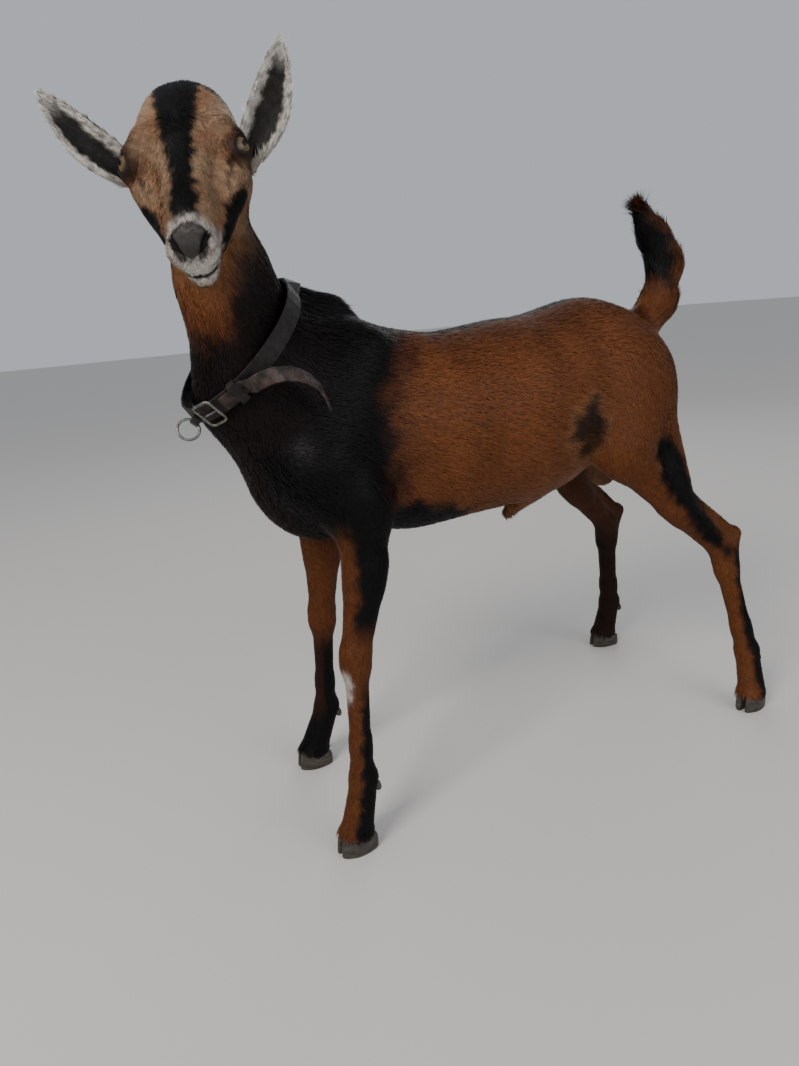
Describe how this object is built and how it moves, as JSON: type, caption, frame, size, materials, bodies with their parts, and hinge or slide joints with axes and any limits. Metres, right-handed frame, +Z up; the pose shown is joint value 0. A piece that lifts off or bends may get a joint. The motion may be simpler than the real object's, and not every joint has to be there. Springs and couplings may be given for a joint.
{
  "type": "goat",
  "caption": "Young hornless short-haired goat standing still with its head turned to its left, life size, in a leather collar with a ring",
  "frame": {"origin": "centre of the bounding box, on the floor under the hooves", "axes": "the goat's body faces -Y, its left side is towards +X, and +Z is up"},
  "size_m": [0.3718, 0.895, 0.9106],
  "materials": {
    "coat": "short glossy hair, rusty brown with black",
    "horn": "worn hoof",
    "eye": "wet and clear",
    "leather": "worn strap",
    "steel": "dulled plating"
  },
  "bodies": {
    "root": {"thorax": "coat", "abdomen": "coat", "pelvis": "coat", "tail": "coat", "scrotum": "coat", "sheath": "coat", "neck": "coat", "lower_jaw": "coat", "head": "coat", "eye_left": "eye", "ear_left": "coat", "eye_right": "eye", "ear_right": "coat", "collar_strap": "leather", "collar_loose_end": "leather", "collar_keeper": "leather", "collar_ring_tab": "leather", "collar_buckle": "steel", "collar_prong": "steel", "collar_ring": "steel", "foreleg_left_upper": "coat", "foreleg_left_cannon": "coat", "foreleg_left_pastern": "coat", "foreleg_left_claw_inner": "horn", "foreleg_left_dewclaw_inner": "horn", "foreleg_left_claw_outer": "horn", "foreleg_left_dewclaw_outer": "horn", "foreleg_right_upper": "coat", "foreleg_right_cannon": "coat", "foreleg_right_pastern": "coat", "foreleg_right_claw_inner": "horn", "foreleg_right_dewclaw_inner": "horn", "foreleg_right_claw_outer": "horn", "foreleg_right_dewclaw_outer": "horn", "hindleg_left_thigh": "coat", "hindleg_left_gaskin": "coat", "hindleg_left_cannon": "coat", "hindleg_left_pastern": "coat", "hindleg_left_claw_inner": "horn", "hindleg_left_dewclaw_inner": "horn", "hindleg_left_claw_outer": "horn", "hindleg_left_dewclaw_outer": "horn", "hindleg_right_thigh": "coat", "hindleg_right_gaskin": "coat", "hindleg_right_cannon": "coat", "hindleg_right_pastern": "coat", "hindleg_right_claw_inner": "horn", "hindleg_right_dewclaw_inner": "horn", "hindleg_right_claw_outer": "horn", "hindleg_right_dewclaw_outer": "horn"}
  },
  "joints": []
}
